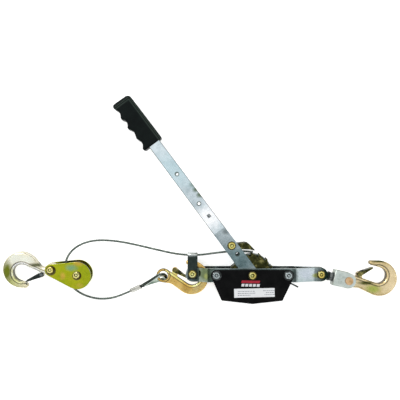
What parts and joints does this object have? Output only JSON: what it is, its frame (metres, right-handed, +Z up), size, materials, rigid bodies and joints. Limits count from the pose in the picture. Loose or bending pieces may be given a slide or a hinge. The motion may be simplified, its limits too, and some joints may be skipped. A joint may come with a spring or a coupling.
{
  "type": "come along winch",
  "caption": "Lever-operated ratchet cable puller with a forked handle, rope drum, guide stirrup, running pulley block and latched hooks.",
  "frame": {"origin": "centre of the tool's bounding box at the level of the surface it lies on, without its wire rope", "axes": "+X from the pulley block's hook towards the swivel hook, +Y towards the lever's grip, +Z up from the surface through the tool's thickness, along the drum shaft"},
  "size_m": [0.8847, 0.4617, 0.068],
  "materials": {
    "zinc": "bright zinc plate on pressed steel",
    "yellow_zinc": "yellow chromated zinc on forged steel",
    "block_zinc": "iridescent yellow-green chromate",
    "wheel_zinc": "dark olive chromate",
    "black_paint": "satin black paint",
    "dark_steel": "blackened steel",
    "grip_plastic": "moulded black plastic",
    "rope_steel": "galvanised wire rope",
    "ferrule_aluminium": "pressed aluminium",
    "label": "printed vinyl sticker",
    "copper_rivet": "coppery plated rivet",
    "bronze": "oiled bronze bush",
    "spring_steel": "spring wire"
  },
  "bodies": {
    "frame": {"near_side_strap": "zinc", "far_side_strap": "zinc", "near_cover_plate": "black_paint", "far_cover_plate": "black_paint", "rating_label": "label", "main_shaft": "yellow_zinc", "shaft_nuts": "yellow_zinc", "frame_bolts": "zinc", "frame_nuts": "zinc", "frame_washers": "zinc", "frame_spacers": "zinc", "anchor_pin": "yellow_zinc", "anchor_nuts": "yellow_zinc", "anchor_roller": "yellow_zinc", "end_pin": "yellow_zinc", "end_pin_nuts": "yellow_zinc", "holding_pawl_spring": "spring_steel", "middle_hook": "yellow_zinc", "middle_latch_rivet": "yellow_zinc", "thimble": "zinc", "rope_eye": "rope_steel", "rope_ferrule": "ferrule_aluminium", "wire_rope": "rope_steel", "near_cheek": "block_zinc", "far_cheek": "block_zinc", "sheave_axle": "yellow_zinc", "hook_bolt": "yellow_zinc", "block_nuts": "yellow_zinc", "block_washers": "yellow_zinc", "sheave_spacers": "yellow_zinc"},
    "lever": {"lever_channel": "zinc", "lever_grip": "grip_plastic", "pawl_pin": "yellow_zinc", "pawl_pin_nuts": "yellow_zinc", "driving_pawl_spring": "spring_steel"},
    "driving_pawl": {"driving_pawl": "wheel_zinc"},
    "holding_pawl": {"holding_pawl": "wheel_zinc", "pawl_release_rod": "dark_steel"},
    "drum": {"drum_core": "wheel_zinc", "near_ratchet_wheel": "wheel_zinc", "far_ratchet_wheel": "wheel_zinc", "drum_bush": "bronze", "drum_rivets": "wheel_zinc", "rope_windings": "rope_steel"},
    "rope_guide": {"rope_guide": "dark_steel"},
    "swivel": {"swivel_eye": "dark_steel", "swivel_nut": "zinc", "swivel_washer": "zinc"},
    "clevis": {"clevis": "zinc", "clevis_rivet": "copper_rivet"},
    "right_hook": {"right_hook": "yellow_zinc", "right_latch_rivet": "yellow_zinc"},
    "right_latch": {"right_latch": "yellow_zinc"},
    "left_hook": {"left_hook": "yellow_zinc", "left_latch_rivet": "yellow_zinc"},
    "left_latch": {"left_latch": "dark_steel"},
    "middle_latch": {"middle_latch": "yellow_zinc"},
    "sheave": {"sheave": "wheel_zinc", "sheave_bush": "bronze"}
  },
  "joints": [
    {"name": "lever_swing", "type": "hinge", "parent": "frame", "child": "lever", "pos_m": [0.1177, -0.1679, 0.034], "axis": [0, 0, 1], "range_deg": [-90, 0]},
    {"name": "drum_spin", "type": "hinge", "parent": "frame", "child": "drum", "pos_m": [0.1177, -0.1679, 0.034], "axis": [0, 0, 1], "continuous": true},
    {"name": "driving_pawl_drop", "type": "hinge", "parent": "lever", "child": "driving_pawl", "pos_m": [0.07203, -0.10278, 0.034], "axis": [0, 0, 1], "range_deg": [-6.5, 0]},
    {"name": "holding_pawl_drop", "type": "hinge", "parent": "frame", "child": "holding_pawl", "pos_m": [0.1967, -0.1679, 0.034], "axis": [0, 0, 1], "range_deg": [-6, 0]},
    {"name": "guide_lean", "type": "hinge", "parent": "frame", "child": "rope_guide", "pos_m": [-0.0143, -0.1661, 0.034], "axis": [0, 0, 1], "range_deg": [-7, 7]},
    {"name": "eye_swing", "type": "hinge", "parent": "frame", "child": "swivel", "pos_m": [0.2717, -0.1679, 0.034], "axis": [0, 0, 1], "range_deg": [-60, 60]},
    {"name": "clevis_turn", "type": "hinge", "parent": "swivel", "child": "clevis", "pos_m": [0.30097, -0.1745, 0.034], "axis": [0.9755, -0.2198, 0], "continuous": true},
    {"name": "right_hook_swing", "type": "hinge", "parent": "clevis", "child": "right_hook", "pos_m": [0.33335, -0.18179, 0.034], "axis": [0, 0, 1], "range_deg": [-45, 45]},
    {"name": "right_latch_open", "type": "hinge", "parent": "right_hook", "child": "right_latch", "pos_m": [0.35796, -0.16815, 0.034], "axis": [0, 0, 1], "range_deg": [-40, 0], "stiffness_Nm_per_rad": 0.05, "springref_deg": 11.46},
    {"name": "left_hook_swing", "type": "hinge", "parent": "frame", "child": "left_hook", "pos_m": [-0.3322, -0.1587, 0.02294], "axis": [0, -0.1305, 0.9914], "range_deg": [-45, 45]},
    {"name": "left_latch_open", "type": "hinge", "parent": "left_hook", "child": "left_latch", "pos_m": [-0.35565, -0.16991, 0.02147], "axis": [0, -0.1305, 0.9914], "range_deg": [-40, 0], "stiffness_Nm_per_rad": 0.05, "springref_deg": 11.46},
    {"name": "middle_latch_open", "type": "hinge", "parent": "frame", "child": "middle_latch", "pos_m": [-0.0542, -0.1585, 0.034], "axis": [0, 0, 1], "range_deg": [-5, 0], "stiffness_Nm_per_rad": 0.05, "springref_deg": 28.65},
    {"name": "sheave_spin", "type": "hinge", "parent": "frame", "child": "sheave", "pos_m": [-0.2743, -0.1704, 0.0214], "axis": [0, -0.1305, 0.9914], "continuous": true}
  ]
}
